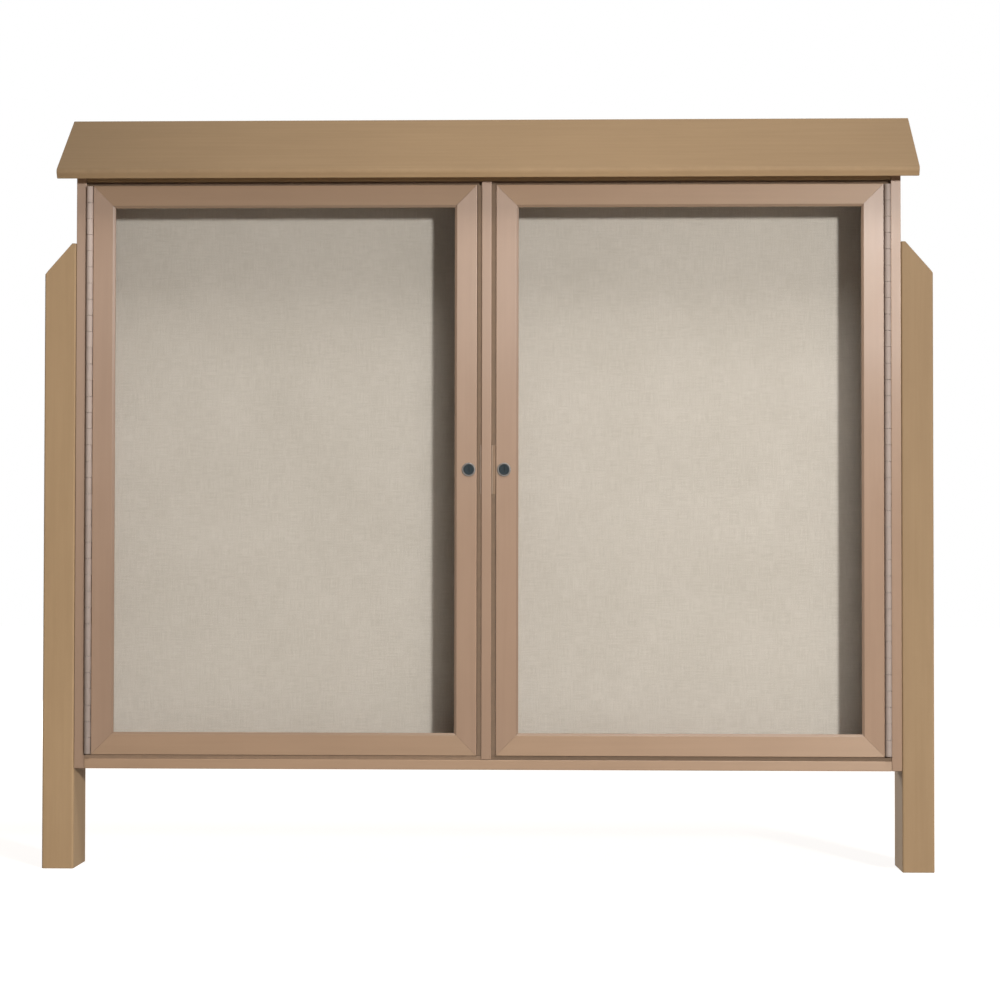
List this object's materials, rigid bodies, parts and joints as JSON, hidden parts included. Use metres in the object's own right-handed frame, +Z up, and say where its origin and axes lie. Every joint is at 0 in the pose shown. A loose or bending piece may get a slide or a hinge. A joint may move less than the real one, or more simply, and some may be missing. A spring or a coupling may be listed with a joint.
{
  "type": "freestanding message board",
  "caption": "Freestanding outdoor message board: a roofed cabinet held between posts, with glazed hinged doors, cam locks and vinyl posting boards.",
  "frame": {"origin": "on the ground, under the middle of the whole board", "axes": "+X to the right as seen from the front, +Y from the front to the back, +Z up"},
  "size_m": [1.423, 0.1544, 1.2186],
  "materials": {
    "plastic_lumber": "tan plastic lumber, matt, faintly textured",
    "door_frame": "tan plastic lumber, planed, satin",
    "posting_core": "pressed fibre board",
    "posting_vinyl": "greige vinyl with a linen weave",
    "glazing": "clear",
    "glazing_bead": "black, matt",
    "seal_foam": "black foam",
    "hinge_metal": "mill finish, satin",
    "fixing_steel": "zinc plated",
    "lock_chrome": "bright",
    "lock_plug": "dark, satin",
    "keeper_paint": "tan paint, satin"
  },
  "bodies": {
    "cabinet": {"left_post": "plastic_lumber", "right_post": "plastic_lumber", "left_side_panel": "plastic_lumber", "right_side_panel": "plastic_lumber", "bottom_board": "plastic_lumber", "top_board": "plastic_lumber", "centre_mullion": "plastic_lumber", "back_panel": "plastic_lumber", "roof_board": "plastic_lumber", "front_roof_batten": "plastic_lumber", "rear_roof_batten": "plastic_lumber", "left_top_stop": "plastic_lumber", "left_bottom_stop": "plastic_lumber", "right_top_stop": "plastic_lumber", "right_bottom_stop": "plastic_lumber", "left_top_seal": "seal_foam", "left_bottom_seal": "seal_foam", "right_top_seal": "seal_foam", "right_bottom_seal": "seal_foam", "left_posting_board": "posting_core", "right_posting_board": "posting_core", "left_vinyl_face": "posting_vinyl", "right_vinyl_face": "posting_vinyl", "left_post_screw_1": "fixing_steel", "left_post_screw_2": "fixing_steel", "right_post_screw_1": "fixing_steel", "right_post_screw_2": "fixing_steel", "left_keeper": "keeper_paint", "right_keeper": "keeper_paint", "left_hinge_cabinet_leaf": "hinge_metal", "right_hinge_cabinet_leaf": "hinge_metal", "left_hinge_pin": "fixing_steel", "right_hinge_pin": "fixing_steel"},
    "left_door": {"left_door_outer_stile": "door_frame", "left_door_inner_stile": "door_frame", "left_door_top_rail": "door_frame", "left_door_bottom_rail": "door_frame", "left_door_pane": "glazing", "left_glazing_bead": "glazing_bead", "left_hinge_door_leaf": "hinge_metal", "left_lock_body": "lock_chrome", "left_lock_nut": "fixing_steel"},
    "left_lock": {"left_lock_plug": "lock_plug", "left_lock_cam": "fixing_steel", "left_cam_screw": "fixing_steel"},
    "right_door": {"right_door_outer_stile": "door_frame", "right_door_inner_stile": "door_frame", "right_door_top_rail": "door_frame", "right_door_bottom_rail": "door_frame", "right_door_pane": "glazing", "right_glazing_bead": "glazing_bead", "right_hinge_door_leaf": "hinge_metal", "right_lock_body": "lock_chrome", "right_lock_nut": "fixing_steel"},
    "right_lock": {"right_lock_plug": "lock_plug", "right_lock_cam": "fixing_steel", "right_cam_screw": "fixing_steel"}
  },
  "joints": [
    {"name": "left_door_hinge", "type": "hinge", "parent": "cabinet", "child": "left_door", "pos_m": [-0.63905, -0.03629, 0.63895], "axis": [0, 0, -1], "range_deg": [0, 170]},
    {"name": "right_door_hinge", "type": "hinge", "parent": "cabinet", "child": "right_door", "pos_m": [0.63905, -0.03629, 0.63895], "axis": [0, 0, 1], "range_deg": [0, 170]},
    {"name": "left_lock_turn", "type": "hinge", "parent": "left_door", "child": "left_lock", "pos_m": [-0.02825, -0.03479, 0.63895], "axis": [0, -1, 0], "range_deg": [0, 90]},
    {"name": "right_lock_turn", "type": "hinge", "parent": "right_door", "child": "right_lock", "pos_m": [0.02825, -0.03479, 0.63895], "axis": [0, 1, 0], "range_deg": [0, 90]}
  ]
}
